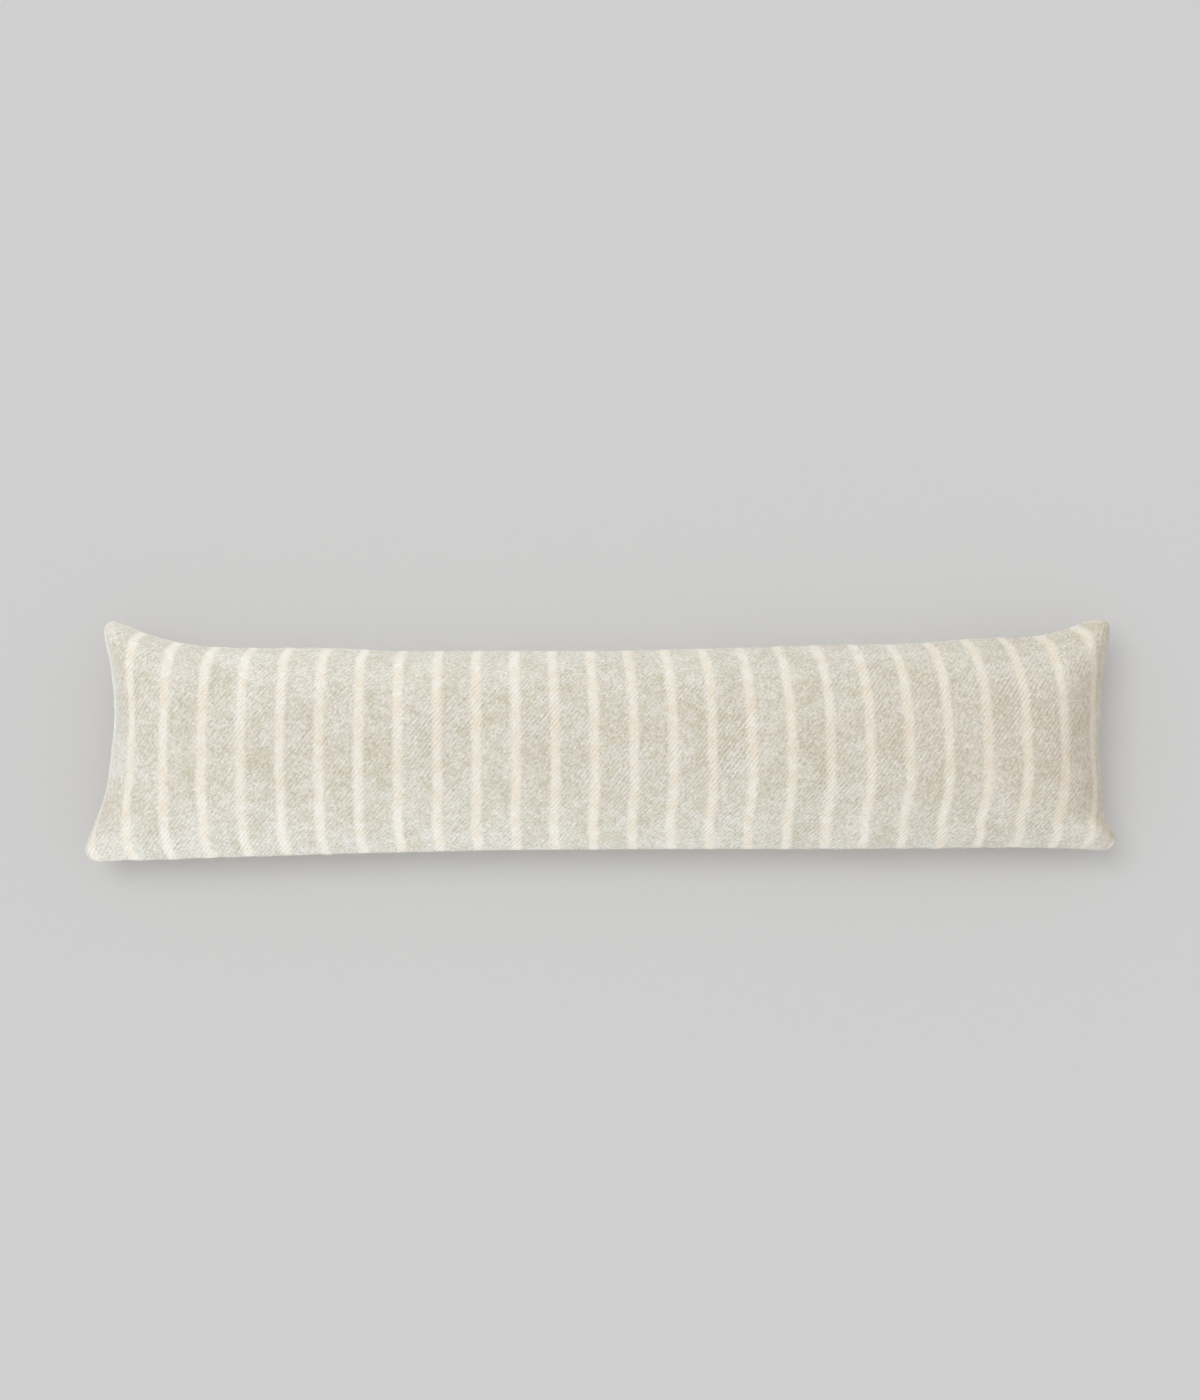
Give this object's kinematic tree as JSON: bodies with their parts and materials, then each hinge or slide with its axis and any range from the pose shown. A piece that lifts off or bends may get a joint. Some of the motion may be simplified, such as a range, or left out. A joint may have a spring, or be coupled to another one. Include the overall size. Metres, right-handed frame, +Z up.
{
  "type": "lumbar pillow",
  "caption": "Long filled lumbar pillow with a knife-edge seam, drawn-in sides and pointed corners, in oatmeal wool with narrow cream stripes, for a bed, bench or sofa.",
  "frame": {"origin": "bottom centre of the box around the pillow, on the floor that it lies on", "axes": "+X along the pillow, +Y across it to its upper edge, +Z up out of its face"},
  "size_m": [1.2056, 0.2918, 0.1315],
  "materials": {
    "wool": "brushed wool twill, oatmeal melange with narrow cream stripes"
  },
  "bodies": {
    "root": {"pillow": "wool"}
  },
  "joints": []
}
